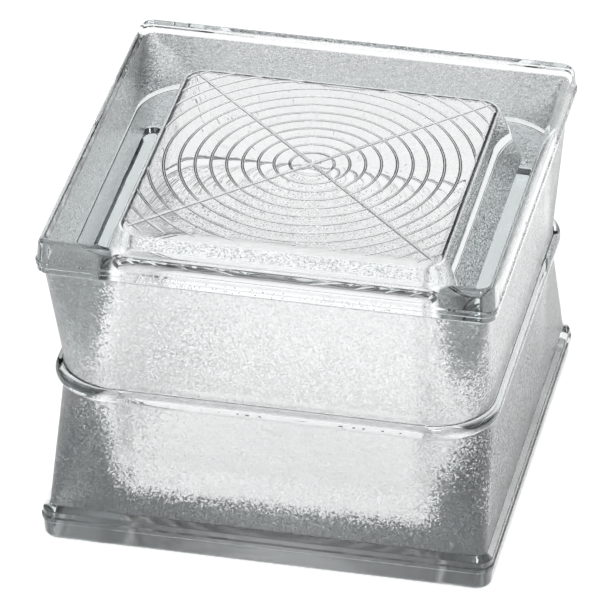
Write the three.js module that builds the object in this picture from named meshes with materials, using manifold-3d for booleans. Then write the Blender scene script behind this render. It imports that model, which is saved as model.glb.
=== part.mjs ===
// Hollow glass floor block: two equal pressed glass halves, fused mouth to mouth at mid-height.
// Units are millimetres, +Z is up, and the origin is the centre of the bottom face.

import * as THREE from 'three';
import { mergeVertices } from 'three/addons/utils/BufferGeometryUtils.js';
import Module from 'manifold-3d';

// ---------------------------------------------------------------------------
// Driving dimensions
// ---------------------------------------------------------------------------

// Block
const BLOCK_SIDE = 145;            // over the parting ridges
const BLOCK_HEIGHT = 110;          // face to face

// Rim round each face
const EDGE_ROUND = 2.5;            // round between the face and the side of the rim
const RIM_DRAFT = 0.5;             // the rim narrows by this, each side, from the ridge to the face
const RIM_HEIGHT = 10.8;           // face to the lower edge of the rim
const RIM_CORNER_RADIUS = 4.6;
const RIDGE_DEPTH = 7.4;           // upper edge of the parting ridge, below the face
const RIDGE_WIDTH = 1.2;
const RIDGE_PROUD = 0.5;
const SHOULDER_HEIGHT = 1.5;       // slope from the rim back to the wall
const SHOULDER_INSET = 2.2;

// Wall between the rim and the seam
const WALL_TAPER = 1.5;            // each side, from the shoulder to the seam bead
const WALL_CORNER_RADIUS = 3;      // at the shoulder
const SEAM_CORNER_RADIUS = 19.5;   // at the seam bead

// Bead along the seam
const BEAD_RADIUS = 2.4;

// Cavity
const FACE_THICKNESS = 12.5;       // glass between the face and the cavity
const MOUTH_HALF_WIDTH = 58.6;     // half of the cavity's width at the seam
const CAVITY_TAPER = 7.3;          // each side, from the seam to the edge where wall and end meet
const CAVITY_FILLET = 2;           // round along that edge
const MOUTH_CORNER_RADIUS = 14;
const CAVITY_CORNER_RADIUS = 7;    // of that edge, in plan

// Ring-and-cross relief on the cavity's end
const RING_FIRST_RADIUS = 7;
const RING_PITCH = 4.95;
const RING_WIDTH = 1.1;
const RING_HEIGHT = 0.4;
const CROSS_WIDTH = 1.4;           // of each diagonal rib
const CROSS_HEIGHT = 0.5;
const RELIEF_ROOT = 0.3;           // depth to which a rib is set into the glass that carries it
const RELIEF_SINK = 0.1;           // depth at which the ribs end inside the fillet

// Smoothness
const CORNER_STEPS = 7;            // facets on each vertical corner
const ROUND_STEPS = 4;             // facets across a small round or fillet
const WALL_STEPS = 4;              // levels along a wall whose corners change
const RING_CHORD_ERROR = 0.12;     // how far a ring's facet may lie inside its circle

// ---------------------------------------------------------------------------
// Derived sizes. A half stands on its mouth: level 0 is the seam, the face is at HALF_HEIGHT.
// ---------------------------------------------------------------------------

const HALF_SIDE = BLOCK_SIDE / 2;
const HALF_HEIGHT = BLOCK_HEIGHT / 2;
const RIM_HALF = HALF_SIDE - RIDGE_PROUD;
const WALL_TOP_HALF = RIM_HALF - SHOULDER_INSET;
const WALL_FOOT_HALF = WALL_TOP_HALF - WALL_TAPER;
const CAVITY_END_LEVEL = HALF_HEIGHT - FACE_THICKNESS;
const CAVITY_END_HALF = MOUTH_HALF_WIDTH - CAVITY_TAPER;
const CAVITY_WALL_ANGLE = Math.atan2(CAVITY_END_LEVEL, CAVITY_TAPER);   // from the level
const FILLET_REACH = CAVITY_FILLET * Math.tan(CAVITY_WALL_ANGLE / 2);
const FLAT_HALF = CAVITY_END_HALF - FILLET_REACH;
const FLAT_CORNER_RADIUS = CAVITY_CORNER_RADIUS - FILLET_REACH;
const RIB_END_DROP = CROSS_HEIGHT + RELIEF_SINK;   // of the fillet, where the ribs end inside it
const RELIEF_REACH = Math.sqrt(CAVITY_FILLET ** 2 - (CAVITY_FILLET - RIB_END_DROP) ** 2);
const RELIEF_HALF = FLAT_HALF + RELIEF_REACH;
const RELIEF_CORNER_RADIUS = FLAT_CORNER_RADIUS + RELIEF_REACH;
const QUARTER_TURN = Math.PI / 2;

const wasm = await Module();
wasm.setup();

// ---------------------------------------------------------------------------
// Lofts through rounded squares
// ---------------------------------------------------------------------------

// One section of a loft: a square of the given half width, with round corners, at a level.
function section(level, half, radius) {
  return { level, half, radius };
}

function roundedSquarePoints({ level, half, radius }) {
  const points = [];
  const axis = new THREE.Vector2();
  for (let corner = 0; corner < 4; corner += 1) {
    const centre = new THREE.Vector2(half - radius, half - radius).rotateAround(axis, corner * QUARTER_TURN);
    for (let step = 0; step <= CORNER_STEPS; step += 1) {
      const angle = (corner + step / CORNER_STEPS) * QUARTER_TURN;
      points.push(new THREE.Vector3(
        centre.x + radius * Math.cos(angle),
        centre.y + radius * Math.sin(angle),
        level,
      ));
    }
  }
  return points;
}

// Closed solid through the sections, listed from the lowest to the highest.
function loft(sections) {
  const rings = sections.map(roundedSquarePoints);
  const count = rings[0].length;
  const positions = rings.flat().flatMap((point) => point.toArray());
  const indices = [];
  for (let ring = 0; ring + 1 < rings.length; ring += 1) {
    for (let side = 0; side < count; side += 1) {
      const a = ring * count + side;
      const b = ring * count + (side + 1) % count;
      indices.push(a, b, b + count, a, b + count, a + count);
    }
  }
  const bottomCentre = rings.length * count;
  const topCentre = bottomCentre + 1;
  const lastRing = (rings.length - 1) * count;
  positions.push(0, 0, sections[0].level, 0, 0, sections.at(-1).level);
  for (let side = 0; side < count; side += 1) {
    const next = (side + 1) % count;
    indices.push(bottomCentre, next, side);
    indices.push(topCentre, lastRing + side, lastRing + next);
  }
  const geometry = new THREE.BufferGeometry();
  geometry.setAttribute('position', new THREE.Float32BufferAttribute(positions, 3));
  geometry.setIndex(indices);
  return geometry;
}

// ---------------------------------------------------------------------------
// Solids
// ---------------------------------------------------------------------------

function toSolid(geometry) {
  const bare = geometry.clone();
  bare.deleteAttribute('normal');
  bare.deleteAttribute('uv');
  const merged = mergeVertices(bare);
  return new wasm.Manifold(new wasm.Mesh({
    numProp: 3,
    vertProperties: new Float32Array(merged.attributes.position.array),
    triVerts: new Uint32Array(merged.index.array),
  }));
}

function toGeometry(solid) {
  const mesh = solid.getMesh();
  const geometry = new THREE.BufferGeometry();
  geometry.setAttribute('position', new THREE.BufferAttribute(new Float32Array(mesh.vertProperties), 3));
  geometry.setIndex(new THREE.BufferAttribute(new Uint32Array(mesh.triVerts), 1));
  geometry.computeVertexNormals();
  return geometry;
}

// ---------------------------------------------------------------------------
// Relief on the cavity's end. The ribs hang from the glass into the cavity.
// ---------------------------------------------------------------------------

// Corners of a rib's section, as pairs of an offset across the rib and a level.
function ribProfile(width, height) {
  return [
    [-width / 2, CAVITY_END_LEVEL + RELIEF_ROOT],
    [-width / 2, CAVITY_END_LEVEL],
    [0, CAVITY_END_LEVEL - height],
    [width / 2, CAVITY_END_LEVEL],
    [width / 2, CAVITY_END_LEVEL + RELIEF_ROOT],
  ];
}

function ringRib(radius) {
  const profile = ribProfile(RING_WIDTH, RING_HEIGHT).map(([offset, level]) => (
    new THREE.Vector2(radius + offset, level)
  ));
  profile.push(profile[0].clone());
  const facets = Math.ceil(Math.PI / Math.acos(1 - RING_CHORD_ERROR / radius));
  const ring = new THREE.LatheGeometry(profile, facets);
  ring.rotateX(QUARTER_TURN);
  return toSolid(ring);
}

function crossRib(turns) {
  const profile = ribProfile(CROSS_WIDTH, CROSS_HEIGHT);
  const shape = new THREE.Shape(profile.map(([offset, level]) => new THREE.Vector2(offset, level)));
  const length = 2 * Math.SQRT2 * RELIEF_HALF;
  const rib = new THREE.ExtrudeGeometry(shape, { depth: length, bevelEnabled: false });
  rib.translate(0, 0, -length / 2);
  rib.rotateX(QUARTER_TURN);
  rib.rotateZ(turns * QUARTER_TURN);
  return toSolid(rib);
}

function relief() {
  const corner = Math.SQRT2 * (RELIEF_HALF - RELIEF_CORNER_RADIUS) + RELIEF_CORNER_RADIUS;
  let ribs = crossRib(0.5).add(crossRib(-0.5));
  for (let radius = RING_FIRST_RADIUS; radius < corner - RING_WIDTH; radius += RING_PITCH) {
    ribs = ribs.add(ringRib(radius));
  }
  const outline = toSolid(loft([
    section(CAVITY_END_LEVEL - CROSS_HEIGHT - RELIEF_ROOT, RELIEF_HALF, RELIEF_CORNER_RADIUS),
    section(CAVITY_END_LEVEL + RELIEF_ROOT, RELIEF_HALF, RELIEF_CORNER_RADIUS),
  ]));
  return ribs.intersect(outline);
}

// ---------------------------------------------------------------------------
// One pressed half
// ---------------------------------------------------------------------------

// Half of the bead that the pressed edges form where they are fused, from the seam upwards.
function beadSections() {
  const sections = [];
  for (let step = 0; step <= ROUND_STEPS; step += 1) {
    const angle = QUARTER_TURN * step / ROUND_STEPS;
    const half = WALL_FOOT_HALF + BEAD_RADIUS * Math.cos(angle);
    sections.push(section(BEAD_RADIUS * Math.sin(angle), half, SEAM_CORNER_RADIUS));
  }
  return sections;
}

// Side wall above the bead: it widens to the shoulder while its corners tighten.
function wallSections() {
  const foot = BEAD_RADIUS;
  const top = HALF_HEIGHT - RIM_HEIGHT - SHOULDER_HEIGHT;
  const sections = [];
  for (let step = 1; step <= WALL_STEPS; step += 1) {
    const rise = step / WALL_STEPS;
    sections.push(section(
      THREE.MathUtils.lerp(foot, top, rise),
      THREE.MathUtils.lerp(WALL_FOOT_HALF, WALL_TOP_HALF, rise),
      THREE.MathUtils.lerp(SEAM_CORNER_RADIUS, WALL_CORNER_RADIUS, rise),
    ));
  }
  return sections;
}

// Thick rim: shoulder, upright band, parting ridge, drafted side and the round at the face.
function rimSections() {
  const ridgeCorner = RIM_CORNER_RADIUS + RIDGE_PROUD;
  const ridgeTop = HALF_HEIGHT - RIDGE_DEPTH;
  const ridgeFoot = ridgeTop - RIDGE_WIDTH;
  const sections = [
    section(HALF_HEIGHT - RIM_HEIGHT, RIM_HALF, RIM_CORNER_RADIUS),
    section(ridgeFoot - RIDGE_PROUD, RIM_HALF, RIM_CORNER_RADIUS),
    section(ridgeFoot, HALF_SIDE, ridgeCorner),
    section(ridgeTop, HALF_SIDE, ridgeCorner),
    section(ridgeTop + RIDGE_PROUD, RIM_HALF, RIM_CORNER_RADIUS),
  ];
  const roundHalf = RIM_HALF - RIM_DRAFT - EDGE_ROUND;
  for (let step = 0; step <= ROUND_STEPS; step += 1) {
    const angle = QUARTER_TURN * step / ROUND_STEPS;
    const inset = EDGE_ROUND * (1 - Math.cos(angle));
    sections.push(section(
      HALF_HEIGHT - EDGE_ROUND * (1 - Math.sin(angle)),
      roundHalf + EDGE_ROUND * Math.cos(angle),
      RIM_CORNER_RADIUS - inset,
    ));
  }
  return sections;
}

// Space that the press plunger leaves, open at the seam. The fillet runs smoothly out of the wall
// and into the flat end.
function cavitySections() {
  const sections = [section(0, MOUTH_HALF_WIDTH, MOUTH_CORNER_RADIUS)];
  for (let step = 0; step <= ROUND_STEPS; step += 1) {
    const angle = CAVITY_WALL_ANGLE * (1 - step / ROUND_STEPS);
    const beyondFlat = CAVITY_FILLET * Math.sin(angle);
    sections.push(section(
      CAVITY_END_LEVEL - CAVITY_FILLET * (1 - Math.cos(angle)),
      FLAT_HALF + beyondFlat,
      FLAT_CORNER_RADIUS + beyondFlat,
    ));
  }
  return sections;
}

function pressedHalf() {
  const outside = toSolid(loft([...beadSections(), ...wallSections(), ...rimSections()]));
  const cavity = toSolid(loft(cavitySections()));
  return toGeometry(outside.subtract(cavity).add(relief()));
}

// ---------------------------------------------------------------------------
// The block
// ---------------------------------------------------------------------------

function glass(name) {
  return new THREE.MeshStandardMaterial({
    name,
    color: 0xdfe9e6,
    roughness: 0.05,
    metalness: 0,
    transparent: true,
    opacity: 0.35,
  });
}

const halfGeometry = pressedHalf();

const upperHalf = new THREE.Mesh(halfGeometry, glass('upper_glass'));
upperHalf.name = 'upper_half';
upperHalf.position.z = HALF_HEIGHT;

const lowerHalf = new THREE.Mesh(halfGeometry, glass('lower_glass'));
lowerHalf.name = 'lower_half';
lowerHalf.position.z = HALF_HEIGHT;
lowerHalf.rotation.x = Math.PI;

const block = new THREE.Group();
block.name = 'glass_block';
block.add(upperHalf, lowerHalf);

export default block;
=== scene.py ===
"""Hollow glass floor block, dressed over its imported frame. Lengths are in millimetres where no
comment says otherwise, and become metres when a mesh or the camera is made."""

import math

import bpy
import numpy as np
from mathutils import Matrix, Vector
from mathutils.geometry import delaunay_2d_cdt


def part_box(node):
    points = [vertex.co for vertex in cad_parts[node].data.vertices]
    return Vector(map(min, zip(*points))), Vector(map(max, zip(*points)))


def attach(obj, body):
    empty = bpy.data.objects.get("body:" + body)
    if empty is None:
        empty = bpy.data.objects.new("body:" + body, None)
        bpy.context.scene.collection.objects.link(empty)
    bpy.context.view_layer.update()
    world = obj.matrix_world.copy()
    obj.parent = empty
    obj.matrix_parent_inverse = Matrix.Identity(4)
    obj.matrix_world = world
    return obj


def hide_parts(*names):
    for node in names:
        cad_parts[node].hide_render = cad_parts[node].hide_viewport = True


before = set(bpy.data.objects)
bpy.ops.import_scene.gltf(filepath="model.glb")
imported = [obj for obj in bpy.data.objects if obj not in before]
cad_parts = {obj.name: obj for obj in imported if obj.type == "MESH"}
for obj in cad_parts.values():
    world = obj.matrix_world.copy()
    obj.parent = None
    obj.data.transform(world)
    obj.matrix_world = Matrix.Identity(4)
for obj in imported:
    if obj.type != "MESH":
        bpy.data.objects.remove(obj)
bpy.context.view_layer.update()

MM = 0.001

# ---------------------------------------------------------------------------
# Sizes of the block, in millimetres. Levels are measured from the seam.
# ---------------------------------------------------------------------------

lowest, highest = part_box("upper_half")
HALF_SIDE = highest.x / MM
HALF_HEIGHT = (highest.z - lowest.z) / MM
SEAM_LEVEL = lowest.z / MM

EDGE_ROUND = 2.5
RIM_DRAFT = 0.5
RIM_HEIGHT = 10.8
RIM_CORNER_RADIUS = 4.6
RIDGE_DEPTH = 7.4
RIDGE_WIDTH = 1.2
RIDGE_PROUD = 0.5
SHOULDER_HEIGHT = 1.5
SHOULDER_INSET = 2.2
WALL_TAPER = 1.5
WALL_CORNER_RADIUS = 3
SEAM_CORNER_RADIUS = 19.5
BEAD_RADIUS = 2.4

FACE_THICKNESS = 12.5
MOUTH_HALF_WIDTH = 58.6
CAVITY_TAPER = 7.3
CAVITY_FILLET = 3.5
MOUTH_CORNER_RADIUS = 14
CAVITY_CORNER_RADIUS = 7

RING_FIRST_RADIUS = 7
RING_PITCH = 4.95
RING_WIDTH = 1.2
RING_HEIGHT = 0.5
CROSS_WIDTH = 1.6
CROSS_HEIGHT = 0.62
RELIEF_SINK = 0.1
SCALLOP_DEPTH = 0.18               # hollow of the glass between two rings

# Rounds that fire polishing leaves on the pressed edges
BEAD_ROUND = 2.15
BEAD_ROOT_ROUND = 0.5
INNER_BEAD_PROUD = 0.3             # glass squeezed into the cavity along the seam
INNER_BEAD_HALF_HEIGHT = 1.8
INNER_BEAD_ROUND = 0.6
SHOULDER_ROUND = 0.8
BAND_ROUND = 0.6
RIDGE_ROUND = 0.2

RIM_HALF = HALF_SIDE - RIDGE_PROUD
WALL_TOP_HALF = RIM_HALF - SHOULDER_INSET
WALL_FOOT_HALF = WALL_TOP_HALF - WALL_TAPER
WALL_TOP_LEVEL = HALF_HEIGHT - RIM_HEIGHT - SHOULDER_HEIGHT
CAVITY_END_LEVEL = HALF_HEIGHT - FACE_THICKNESS
CAVITY_END_HALF = MOUTH_HALF_WIDTH - CAVITY_TAPER
WALL_ANGLE = math.atan2(CAVITY_END_LEVEL, CAVITY_TAPER)    # of the cavity's wall, from the level
FILLET_REACH = CAVITY_FILLET * math.tan(WALL_ANGLE / 2)
FLAT_HALF = CAVITY_END_HALF - FILLET_REACH
FLAT_CORNER_RADIUS = CAVITY_CORNER_RADIUS - FILLET_REACH
RIB_END_DROP = CROSS_HEIGHT + RELIEF_SINK                  # of the fillet, where the ribs end
RELIEF_REACH = math.sqrt(CAVITY_FILLET**2 - (CAVITY_FILLET - RIB_END_DROP) ** 2)
RELIEF_HALF = FLAT_HALF + RELIEF_REACH
RELIEF_CORNER_RADIUS = FLAT_CORNER_RADIUS + RELIEF_REACH

# ---------------------------------------------------------------------------
# Smoothness
# ---------------------------------------------------------------------------

CORNER_STEPS = 20                  # facets on each vertical corner
ROUND_STEPS = 8                    # facets across a round or fillet
SMALL_ROUND = 0.4                  # a round up to this size has the smaller number of facets
SMALL_ROUND_STEPS = 4
LEAST_TURN = 1e-6                  # a path that turns by less, in radians, runs straight on
RIB_STEPS = 8                      # facets across a rib
RIB_SPACING = 1.1                  # distance between points along a rib
LEAST_GAPS = 3                     # between two cross ribs, on the smallest circles
CROSS_SINE_LIMIT = 0.6             # keeps the four cross ribs' points apart near the middle
INNER_CIRCLES = (0.2, 0.45, 0.75)  # circles inside the first ring, as shares of its radius
BOUNDARY_GAP = RIB_SPACING / 4     # between the relief's boundary and the points on its circles
FILLET_RINGS = 4                   # lines of points where the relief meets the fillet
SAME_POINT = 1e-7                  # points of the relief that are closer than this are one
SLOPE_STEP = 0.01                  # distance on either side over which a slope is taken

# ---------------------------------------------------------------------------
# Profiles: samples of half width, level and corner radius, with their rates of change
# ---------------------------------------------------------------------------


def round_samples(corner, arriving, leaving, turn, size):
    """Samples across a round between two straight runs, given as steps of unit length."""
    reach = size * math.tan(turn / 2)
    start = corner - arriving * reach
    across = (leaving - arriving * math.cos(turn)) / math.sin(turn)
    steps = ROUND_STEPS if size > SMALL_ROUND else SMALL_ROUND_STEPS
    samples = []
    for step in range(steps + 1):
        angle = turn * step / steps
        point = start + size * (arriving * math.sin(angle) + across * (1 - math.cos(angle)))
        point[2] = corner[2] + reach * (leaving[2] * angle - arriving[2] * (turn - angle)) / turn
        along = (math.sin(turn - angle) * arriving + math.sin(angle) * leaving) / math.sin(turn)
        samples.append((point, along))
    return samples


def rounded_profile(stations):
    """Samples along a path through stations (half, level, corner radius, round at that station)."""
    points = [np.array(station[:3], float) for station in stations]
    runs = [end - start for start, end in zip(points, points[1:])]
    steps = [run / np.hypot(*run[:2]) for run in runs]
    samples = []
    for index, station in enumerate(stations):
        arriving = steps[max(index - 1, 0)]
        leaving = steps[min(index, len(steps) - 1)]
        turn = math.acos(np.clip(arriving[:2] @ leaving[:2], -1, 1))
        size = station[3]
        if not size or turn < LEAST_TURN:
            samples.append((points[index], arriving))
        else:
            samples += round_samples(points[index], arriving, leaving, turn, size)
    return samples


def outer_profile():
    """Outside of one half, from the seam to the face."""
    ridge_top = HALF_HEIGHT - RIDGE_DEPTH
    ridge_foot = ridge_top - RIDGE_WIDTH
    ridge_corner = RIM_CORNER_RADIUS + RIDGE_PROUD
    face_half = RIM_HALF - RIM_DRAFT
    inner_half = face_half - 2 * EDGE_ROUND
    return rounded_profile([
        (WALL_FOOT_HALF + BEAD_RADIUS, 0, SEAM_CORNER_RADIUS, 0),
        (WALL_FOOT_HALF + BEAD_RADIUS, BEAD_RADIUS, SEAM_CORNER_RADIUS, BEAD_ROUND),
        (WALL_FOOT_HALF, BEAD_RADIUS, SEAM_CORNER_RADIUS, BEAD_ROOT_ROUND),
        (WALL_TOP_HALF, WALL_TOP_LEVEL, WALL_CORNER_RADIUS, SHOULDER_ROUND),
        (RIM_HALF, HALF_HEIGHT - RIM_HEIGHT, RIM_CORNER_RADIUS, BAND_ROUND),
        (RIM_HALF, ridge_foot - RIDGE_PROUD, RIM_CORNER_RADIUS, RIDGE_ROUND),
        (HALF_SIDE, ridge_foot, ridge_corner, RIDGE_ROUND),
        (HALF_SIDE, ridge_top, ridge_corner, RIDGE_ROUND),
        (RIM_HALF, ridge_top + RIDGE_PROUD, RIM_CORNER_RADIUS, RIDGE_ROUND),
        (face_half, HALF_HEIGHT, RIM_CORNER_RADIUS, EDGE_ROUND),
        (inner_half, HALF_HEIGHT, RIM_CORNER_RADIUS - EDGE_ROUND, 0),
    ])


def fillet_samples():
    """Samples on the fillet at the cavity's end, from the wall to where the relief starts."""
    last = math.asin(RELIEF_REACH / CAVITY_FILLET)
    samples = []
    for step in range(ROUND_STEPS + 1):
        angle = WALL_ANGLE + (last - WALL_ANGLE) * step / ROUND_STEPS
        beyond = CAVITY_FILLET * math.sin(angle)
        level = CAVITY_END_LEVEL - CAVITY_FILLET * (1 - math.cos(angle))
        point = np.array([FLAT_HALF + beyond, level, FLAT_CORNER_RADIUS + beyond])
        along = np.array([-math.cos(angle), math.sin(angle), -math.cos(angle)])
        samples.append((point, along))
    return samples


def cavity_profile():
    """Inside of one half, from the seam to where the relief starts on the end's fillet."""
    bead_half = MOUTH_HALF_WIDTH - INNER_BEAD_PROUD
    samples = rounded_profile([
        (bead_half, 0, MOUTH_CORNER_RADIUS, 0),
        (bead_half, INNER_BEAD_HALF_HEIGHT / 2, MOUTH_CORNER_RADIUS, INNER_BEAD_ROUND),
        (MOUTH_HALF_WIDTH, INNER_BEAD_HALF_HEIGHT, MOUTH_CORNER_RADIUS, INNER_BEAD_ROUND),
        (CAVITY_END_HALF, CAVITY_END_LEVEL, CAVITY_CORNER_RADIUS, 0),
    ])
    return samples[:-1] + fillet_samples()


def mirrored(samples):
    """The same path below the seam, run from the far end to the seam."""
    flip = np.array([1, -1, 1])
    turned = np.array([-1, 1, -1])
    return [(point * flip, along * turned) for point, along in reversed(samples)]


# ---------------------------------------------------------------------------
# Rounded squares
# ---------------------------------------------------------------------------


def corner_directions():
    """For each point round a section: the unit vector out of its corner arc and its corner's signs."""
    outward, signs = [], []
    for corner in range(4):
        quarter = corner * math.pi / 2
        sign = (
            round(math.cos(quarter + math.pi / 4) * math.sqrt(2)),
            round(math.sin(quarter + math.pi / 4) * math.sqrt(2)),
        )
        for step in range(CORNER_STEPS + 1):
            angle = quarter + step / CORNER_STEPS * math.pi / 2
            outward.append((math.cos(angle), math.sin(angle)))
            signs.append(sign)
    return np.array(outward), np.array(signs, float)


OUTWARD, SIGNS = corner_directions()


def ring_of(sample):
    """Points and outward normals of the section at a profile sample."""
    (half, level, radius), (half_rate, level_rate, radius_rate) = sample
    points = SIGNS * (half - radius) + OUTWARD * radius
    spread = SIGNS * (half_rate - radius_rate) + OUTWARD * radius_rate
    lift = -(spread * OUTWARD).sum(1)
    levels = np.full(len(points), SEAM_LEVEL + level)
    normals = np.column_stack([OUTWARD * level_rate, lift])
    return np.column_stack([points, levels]), normals / np.linalg.norm(normals, axis=1)[:, None]


def edge_distance(x, y, half, radius):
    """How far a point lies outside a rounded square; negative inside it."""
    dx = np.abs(x) - (half - radius)
    dy = np.abs(y) - (half - radius)
    outside = np.hypot(np.maximum(dx, 0), np.maximum(dy, 0))
    return outside + np.minimum(np.maximum(dx, dy), 0) - radius


# ---------------------------------------------------------------------------
# Ring-and-cross relief on the cavity's ends
# ---------------------------------------------------------------------------


def rib_height(distance, width, height):
    """Height of a rounded rib at a distance from its middle line."""
    share = np.minimum(np.abs(distance) / (width / 2), 1)
    return height * np.cos(share * math.pi / 2) ** 2


def relief_level(x, y):
    """Level of the cavity's end, above the seam."""
    radius = np.hypot(x, y)
    ring = np.maximum(np.round((radius - RING_FIRST_RADIUS) / RING_PITCH), 0)
    from_ring = radius - RING_FIRST_RADIUS - ring * RING_PITCH
    ribs = rib_height(from_ring, RING_WIDTH, RING_HEIGHT)
    for diagonal in (x - y, x + y):
        ribs = np.maximum(ribs, rib_height(diagonal / math.sqrt(2), CROSS_WIDTH, CROSS_HEIGHT))
    hollow = SCALLOP_DEPTH * (1 - (from_ring / (RING_PITCH / 2)) ** 2)
    hollow = np.where(radius < RING_FIRST_RADIUS, 0, hollow)
    beyond = np.maximum(edge_distance(x, y, FLAT_HALF, FLAT_CORNER_RADIUS), 0)
    sag = CAVITY_FILLET - np.sqrt(CAVITY_FILLET**2 - np.minimum(beyond, CAVITY_FILLET) ** 2)
    hollow *= np.maximum(1 - beyond / RELIEF_REACH, 0)
    return CAVITY_END_LEVEL + hollow - np.maximum(ribs, sag)


def relief_circles():
    """Radii of the circles on which the relief's points lie, in groups with equal angles."""
    reach = math.sqrt(2) * RELIEF_HALF
    groups = [[RING_FIRST_RADIUS * share for share in INNER_CIRCLES]]
    radius = RING_FIRST_RADIUS
    while radius < reach:
        offsets = [RING_WIDTH * (step / RIB_STEPS - 0.5) for step in range(RIB_STEPS + 1)]
        groups.append([radius + offset for offset in offsets + [RING_PITCH / 2]])
        radius += RING_PITCH
    return groups


def circle_angles(radius, middle_radius):
    """Angles round a circle: close together on each cross rib, and evenly spread between them."""
    offsets = [CROSS_WIDTH * (step / RIB_STEPS - 0.5) for step in range(RIB_STEPS + 1)]
    sines = [np.clip(offset / radius, -CROSS_SINE_LIMIT, CROSS_SINE_LIMIT) for offset in offsets]
    widest = math.asin(min(CROSS_WIDTH / 2 / radius, CROSS_SINE_LIMIT))
    span = math.pi / 2 - 2 * widest
    gaps = max(LEAST_GAPS, round(span * middle_radius / RIB_SPACING))
    angles = []
    for quarter in range(4):
        diagonal = math.pi / 4 + quarter * math.pi / 2
        angles += [diagonal + math.asin(sine) for sine in sines]
        angles += [diagonal + widest + span * step / gaps for step in range(1, gaps)]
    return np.array(angles)


def circle_points(radius, middle_radius):
    """Points round a circle of the relief, and which of them lie inside its boundary."""
    angles = circle_angles(radius, middle_radius)
    circle = radius * np.column_stack([np.cos(angles), np.sin(angles)])
    distance = edge_distance(circle[:, 0], circle[:, 1], RELIEF_HALF, RELIEF_CORNER_RADIUS)
    return circle, distance < -BOUNDARY_GAP


def relief_patch(boundary):
    """Points and triangles of the relief inside a boundary polygon, which comes first."""
    points = [Vector(point) for point in boundary]
    edges = [(index, (index + 1) % len(points)) for index in range(len(points))]
    for group in relief_circles():
        for radius in group:
            circle, inside = circle_points(radius, np.mean(group))
            places = np.where(inside, len(points) + np.cumsum(inside) - 1, -1)
            points += [Vector(point) for point in circle[inside]]
            pairs = zip(places, np.roll(places, -1))
            edges += [(int(a), int(b)) for a, b in pairs if a >= 0 and b >= 0]
    points.append(Vector((0, 0)))
    for step in range(1, FILLET_RINGS):
        radius = RELIEF_CORNER_RADIUS - RELIEF_REACH * step / (FILLET_RINGS - 1)
        ring = SIGNS * (RELIEF_HALF - RELIEF_CORNER_RADIUS) + OUTWARD * radius
        points += [Vector(point) for point in ring]
    found, _, faces, _, _, _ = delaunay_2d_cdt(points, edges, [], 0, SAME_POINT)
    return np.array([tuple(point) for point in found]), np.array([tuple(face) for face in faces])


def relief_normals(x, y):
    """Unit vectors along (rise along x, rise along y, 1) of the relief."""
    across = (relief_level(x + SLOPE_STEP, y) - relief_level(x - SLOPE_STEP, y)) / (2 * SLOPE_STEP)
    along = (relief_level(x, y + SLOPE_STEP) - relief_level(x, y - SLOPE_STEP)) / (2 * SLOPE_STEP)
    normals = np.column_stack([across, along, np.ones(len(x))])
    return normals / np.linalg.norm(normals, axis=1)[:, None]


# ---------------------------------------------------------------------------
# Meshes
# ---------------------------------------------------------------------------

# Names of two values that each point carries for the material: how much of the stipple it shows,
# and its roughness
STIPPLE = "stipple"
ROUGHNESS = "roughness"

WALL_ROUGHNESS = 0.29              # of the stippled side walls
FOOT_ROUGHNESS = 0.15              # of the bottom face and the relief above it


class Skin:
    """Points, normals and faces of the glass, gathered part by part."""

    def __init__(self):
        self.points, self.normals, self.faces = [], [], []
        self.stipple, self.roughness = [], []

    def add(self, points, normals, stipple=0, roughness=0):
        """Adds points and returns the number of the first. Both values run from 0 to 1."""
        first = sum(len(part) for part in self.points)
        self.points.append(points)
        self.normals.append(normals)
        self.stipple += [stipple] * len(points)
        self.roughness += [roughness] * len(points)
        return first

    def face(self, corners):
        self.faces.append(tuple(int(corner) for corner in corners))

    def band(self, lower, upper, inward=False):
        """Faces between two rings, whose first points are given."""
        count = len(OUTWARD)
        for side in range(count):
            following = (side + 1) % count
            corners = (lower + side, lower + following, upper + following, upper + side)
            self.face(corners[::-1] if inward else corners)

    def mesh(self, name):
        made = bpy.data.meshes.new(name)
        points = np.vstack(self.points) * MM
        made.from_pydata(points.tolist(), [], self.faces)
        made.polygons.foreach_set("use_smooth", [True] * len(self.faces))
        made.attributes.new(STIPPLE, "FLOAT", "POINT").data.foreach_set("value", self.stipple)
        made.attributes.new(ROUGHNESS, "FLOAT", "POINT").data.foreach_set("value", self.roughness)
        made.normals_split_custom_set_from_vertices(np.vstack(self.normals).tolist())
        made.validate()
        made.update()
        return made


def add_outside(skin):
    """Closed outer surface, from the bottom face to the top one."""
    half = outer_profile()
    samples = mirrored(half)[:-1] + half
    wall_foot_level = BEAD_RADIUS + BEAD_ROOT_ROUND / 2
    firsts = []
    for sample in samples:
        level = sample[0][1]
        stippled = wall_foot_level < abs(level) < WALL_TOP_LEVEL
        roughness = FOOT_ROUGHNESS if level == -HALF_HEIGHT else stippled * WALL_ROUGHNESS
        firsts.append(skin.add(*ring_of(sample), stippled, roughness))
    for lower, upper in zip(firsts, firsts[1:]):
        skin.band(lower, upper)
    skin.face([firsts[0] + side for side in reversed(range(len(OUTWARD)))])
    skin.face([firsts[-1] + side for side in range(len(OUTWARD))])


def add_relief(skin, patch, boundary, up, roughness=0):
    """Relief on one end of the cavity: up is 1 for the upper end and -1 for the lower one."""
    flat, triangles = patch
    on_boundary = len(OUTWARD)
    inner = flat[on_boundary:]
    levels = relief_level(inner[:, 0], inner[:, 1])
    normals = relief_normals(inner[:, 0], inner[:, 1]) * (1, 1, -up)
    points = np.column_stack([inner, SEAM_LEVEL + up * levels])
    first = skin.add(points, normals, roughness=roughness)
    places = np.concatenate([boundary + np.arange(on_boundary), first + np.arange(len(inner))])
    for triangle in triangles:
        corners = places[triangle]
        skin.face(corners[::-1] if up > 0 else corners)


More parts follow.
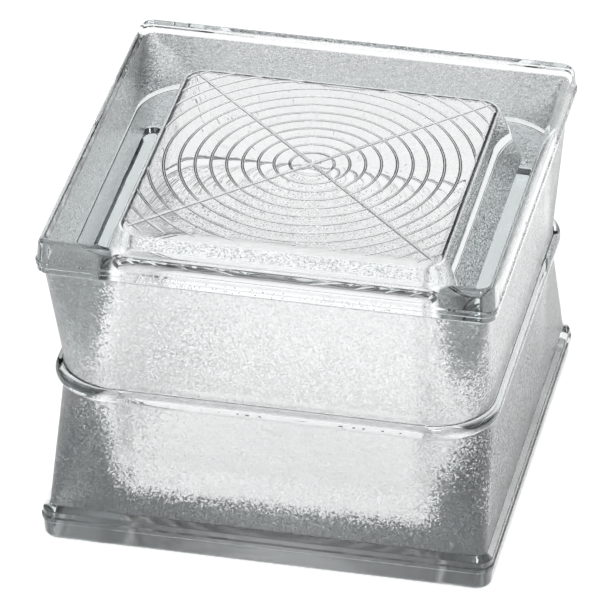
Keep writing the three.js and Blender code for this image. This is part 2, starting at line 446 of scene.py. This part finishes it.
def add_cavity(skin):
    """Closed surface of the cavity. It faces the air inside."""
    half = cavity_profile()
    firsts = []
    for sample in mirrored(half)[:-1] + half:
        points, normals = ring_of(sample)
        firsts.append(skin.add(points, -normals))
    for lower, upper in zip(firsts, firsts[1:]):
        skin.band(lower, upper, inward=True)
    boundary, _ = ring_of(half[-1])
    patch = relief_patch(boundary[:, :2])
    add_relief(skin, patch, firsts[-1], 1)
    add_relief(skin, patch, firsts[0], -1, FOOT_ROUGHNESS)


def fused_glass():
    """The two halves as the one piece of glass that they are once fused."""
    skin = Skin()
    add_outside(skin)
    add_cavity(skin)
    made = bpy.data.objects.new("fused_glass", skin.mesh("fused_glass"))
    bpy.context.scene.collection.objects.link(made)
    return made


# ---------------------------------------------------------------------------
# Materials
# ---------------------------------------------------------------------------

GLASS_IOR = 1.52
GLASS_TINT = (0.2, 0.36, 0.37, 1)
TINT_DENSITY = 2.8                 # a metre of glass absorbs this times what the tint lacks
STIPPLE_SCALE = 2200               # grains in a metre
STIPPLE_SLOPE = 0.63               # range of a grain's tilts
WAVE_SCALE = 60                    # fire-polished waves in a metre
WAVE_DETAIL = 2.0
WAVE_SLOPE = 0.008
MID_GREY = 0.5
CLEAR = (1, 1, 1, 1)
FLOOR_COLOUR = (0.9, 0.9, 0.9, 1)
FLOOR_ROUGHNESS = 0.9
FLOOR_GLOW = 0.84                  # added to the floor's own light where it is looked at


def new_material(name):
    material = bpy.data.materials.new(name)
    material.use_nodes = True
    return material, material.node_tree.nodes, material.node_tree.links


def texture_node(nodes, links, kind, scale):
    """A texture in the block's own coordinates. Its scale is in cells or waves for each metre."""
    place = nodes.new("ShaderNodeTexCoord")
    texture = nodes.new(kind)
    texture.inputs["Scale"].default_value = scale
    links.new(place.outputs["Object"], texture.inputs["Vector"])
    return texture


def point_value(nodes, name):
    """Outputs that give one of the values that each point of the skin carries."""
    node = nodes.new("ShaderNodeAttribute")
    node.attribute_name = name
    return node.outputs


def vector_node(nodes, links, operation, first, *others):
    """A vector operation on an output and on outputs or fixed numbers."""
    node = nodes.new("ShaderNodeVectorMath")
    node.operation = operation
    links.new(first, node.inputs[0])
    for socket, value in zip(node.inputs[1:], others):
        if isinstance(value, float):
            socket.default_value = (value, value, value)
        else:
            links.new(value, socket)
    return node.outputs[0]


def tilt(nodes, links, texture, slope):
    """Tilts of up to half that slope either way, set by the colour of a texture."""
    centred = vector_node(nodes, links, "SUBTRACT", texture.outputs["Color"], MID_GREY)
    return vector_node(nodes, links, "MULTIPLY", centred, slope)


def glass_normal(nodes, links):
    """Normal of the surface, tilted by the waves and, on the walls, by the grains of the stipple."""
    surface = nodes.new("ShaderNodeNewGeometry")
    grains = texture_node(nodes, links, "ShaderNodeTexVoronoi", STIPPLE_SCALE)
    waves = texture_node(nodes, links, "ShaderNodeTexNoise", WAVE_SCALE)
    waves.inputs["Detail"].default_value = WAVE_DETAIL
    stipple = tilt(nodes, links, grains, STIPPLE_SLOPE)
    shown = point_value(nodes, STIPPLE)["Vector"]
    on_walls = vector_node(nodes, links, "MULTIPLY", stipple, shown)
    both = vector_node(nodes, links, "ADD", on_walls, tilt(nodes, links, waves, WAVE_SLOPE))
    tilted = vector_node(nodes, links, "ADD", surface.outputs["Normal"], both)
    return vector_node(nodes, links, "NORMALIZE", tilted)


def glass_material():
    """Soda-lime glass: clear when thin, grey-green when thick, and as rough as each point says."""
    material, nodes, links = new_material("pressed_glass")
    shader = nodes["Principled BSDF"]
    shader.inputs["Base Color"].default_value = CLEAR
    shader.inputs["IOR"].default_value = GLASS_IOR
    shader.inputs["Transmission Weight"].default_value = 1
    links.new(point_value(nodes, ROUGHNESS)["Fac"], shader.inputs["Roughness"])
    links.new(glass_normal(nodes, links), shader.inputs["Normal"])
    absorbing = nodes.new("ShaderNodeVolumeAbsorption")
    absorbing.inputs["Color"].default_value = GLASS_TINT
    absorbing.inputs["Density"].default_value = TINT_DENSITY
    links.new(absorbing.outputs["Volume"], nodes["Material Output"].inputs["Volume"])
    return material


def larger(nodes, links, first, second):
    """The larger of two outputs."""
    node = nodes.new("ShaderNodeMath")
    node.operation = "MAXIMUM"
    links.new(first, node.inputs[0])
    links.new(second, node.inputs[1])
    return node.outputs[0]


def floor_material():
    """White floor, lit by the lamps. It also glows where the camera or the glass looks at it."""
    material, nodes, links = new_material("white_floor")
    shader = nodes["Principled BSDF"]
    shader.inputs["Base Color"].default_value = FLOOR_COLOUR
    shader.inputs["Roughness"].default_value = FLOOR_ROUGHNESS
    ray = nodes.new("ShaderNodeLightPath").outputs
    seen = larger(nodes, links, ray["Is Camera Ray"], ray["Is Glossy Ray"])
    seen = larger(nodes, links, seen, ray["Is Transmission Ray"])
    glow = nodes.new("ShaderNodeEmission")
    glow.inputs["Strength"].default_value = FLOOR_GLOW
    glow_if_seen = nodes.new("ShaderNodeMixShader")
    links.new(seen, glow_if_seen.inputs["Fac"])
    links.new(glow.outputs[0], glow_if_seen.inputs[2])
    both = nodes.new("ShaderNodeAddShader")
    links.new(shader.outputs[0], both.inputs[0])
    links.new(glow_if_seen.outputs[0], both.inputs[1])
    links.new(both.outputs[0], nodes["Material Output"].inputs["Surface"])
    return material


# ---------------------------------------------------------------------------
# Stage, lamps and camera
# ---------------------------------------------------------------------------

FLOOR_SIDE = 12                    # in metres
FLOOR_DROP = 0.2                   # in millimetres, so that the floor doesn't touch the bottom face

# Lamps: places and sides in metres
LAMP_TARGET = (0, 0, 0.05)
KEY_PLACE = (0.08, -0.45, 1.25)
KEY_SIDE = 0.3
KEY_WATTS = 4.5
FILL_PLACE = (-0.6, -1.6, 0.3)
FILL_SIDE = 1.2
FILL_WATTS = 4.5

# Surround: levels are sines of the elevation
HORIZON_BAND = 0.10                # the surround is pale up to here
DARK_FROM = 0.20
DARK_UP_TO = 0.73
COVE_FROM = 0.78
COVE_UP_TO = 0.90
PALE = (0.95, 0.95, 0.95, 1)
DARK = (0.04, 0.045, 0.05, 1)
COVE = (0.35, 0.35, 0.35, 1)
CEILING = (0.3, 0.3, 0.3, 1)

# Camera, fitted to the block's straight edges in the photograph: degrees, millimetres and pixels
PHOTO_SIDE = 600
FOCAL_PIXELS = 6609.8
SENSOR = 36
CAMERA_AZIMUTH = 12.167
CAMERA_ELEVATION = 32.173
CAMERA_ROLL = -0.037
CAMERA_DISTANCE = 2100.3
CAMERA_ASIDE = -3.80               # from the line through the block's centre, to the right
CAMERA_ABOVE = -0.521
CAMERA_FAR = 100                   # in metres, beyond the floor's far edge


def plane(name, side, level):
    """A level square, centred below the block. Both sizes are in metres."""
    half = side / 2
    mesh = bpy.data.meshes.new(name)
    corners = [(-half, -half, level), (half, -half, level), (half, half, level), (-half, half, level)]
    mesh.from_pydata(corners, [], [(0, 1, 2, 3)])
    made = bpy.data.objects.new(name, mesh)
    bpy.context.scene.collection.objects.link(made)
    return made


def area_lamp(name, place, side, watts):
    """A square lamp that faces the block."""
    data = bpy.data.lights.new(name, "AREA")
    data.shape = "SQUARE"
    data.size = side
    data.energy = watts
    lamp = bpy.data.objects.new(name, data)
    lamp.location = place
    lamp.rotation_euler = (Vector(LAMP_TARGET) - Vector(place)).to_track_quat("-Z", "Y").to_euler()
    bpy.context.scene.collection.objects.link(lamp)


def studio_world():
    """Surround: a pale band round the horizon, dark walls, a bright cove and a grey ceiling."""
    world = bpy.data.worlds.new("studio")
    world.use_nodes = True
    nodes, links = world.node_tree.nodes, world.node_tree.links
    direction = nodes.new("ShaderNodeTexCoord")
    parts = nodes.new("ShaderNodeSeparateXYZ")
    ramp = nodes.new("ShaderNodeValToRGB")
    ramp.color_ramp.elements[0].position = HORIZON_BAND
    ramp.color_ramp.elements[0].color = PALE
    ramp.color_ramp.elements[1].position = 1
    ramp.color_ramp.elements[1].color = CEILING
    stops = ((DARK_FROM, DARK), (DARK_UP_TO, DARK), (COVE_FROM, COVE), (COVE_UP_TO, COVE))
    for level, colour in stops:
        ramp.color_ramp.elements.new(level).color = colour
    links.new(direction.outputs["Generated"], parts.inputs[0])
    links.new(parts.outputs["Z"], ramp.inputs["Fac"])
    links.new(ramp.outputs["Color"], nodes["Background"].inputs["Color"])
    bpy.context.scene.world = world


def camera_axes():
    """Unit vectors to the camera's right, up and back, away from the block."""
    azimuth = math.radians(CAMERA_AZIMUTH)
    elevation = math.radians(CAMERA_ELEVATION)
    back = Vector((
        math.sin(azimuth) * math.cos(elevation),
        -math.cos(azimuth) * math.cos(elevation),
        math.sin(elevation),
    ))
    level_right = (-back).cross(Vector((0, 0, 1))).normalized()
    level_up = level_right.cross(-back)
    roll = math.radians(CAMERA_ROLL)
    right = level_right * math.cos(roll) + level_up * math.sin(roll)
    up = level_up * math.cos(roll) - level_right * math.sin(roll)
    return right, up, back


def add_camera():
    right, up, back = camera_axes()
    place = Vector((0, 0, SEAM_LEVEL)) + back * CAMERA_DISTANCE
    place = place + right * CAMERA_ASIDE + up * CAMERA_ABOVE
    data = bpy.data.cameras.new("camera")
    data.sensor_width = SENSOR
    data.lens = FOCAL_PIXELS / PHOTO_SIDE * SENSOR
    data.clip_end = CAMERA_FAR
    camera = bpy.data.objects.new("camera", data)
    turn = Matrix((right, up, back)).transposed().to_4x4()
    camera.matrix_world = Matrix.Translation(place * MM) @ turn
    bpy.context.scene.collection.objects.link(camera)
    bpy.context.scene.camera = camera


# ---------------------------------------------------------------------------
# The scene
# ---------------------------------------------------------------------------

block = fused_glass()
block.data.materials.append(glass_material())
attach(block, "root")
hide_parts("upper_half", "lower_half")

floor = plane("floor", FLOOR_SIDE, -FLOOR_DROP * MM)
floor.data.materials.append(floor_material())

add_camera()
studio_world()
area_lamp("key", KEY_PLACE, KEY_SIDE, KEY_WATTS)
area_lamp("fill", FILL_PLACE, FILL_SIDE, FILL_WATTS)

bpy.context.scene.view_settings.view_transform = "Standard"
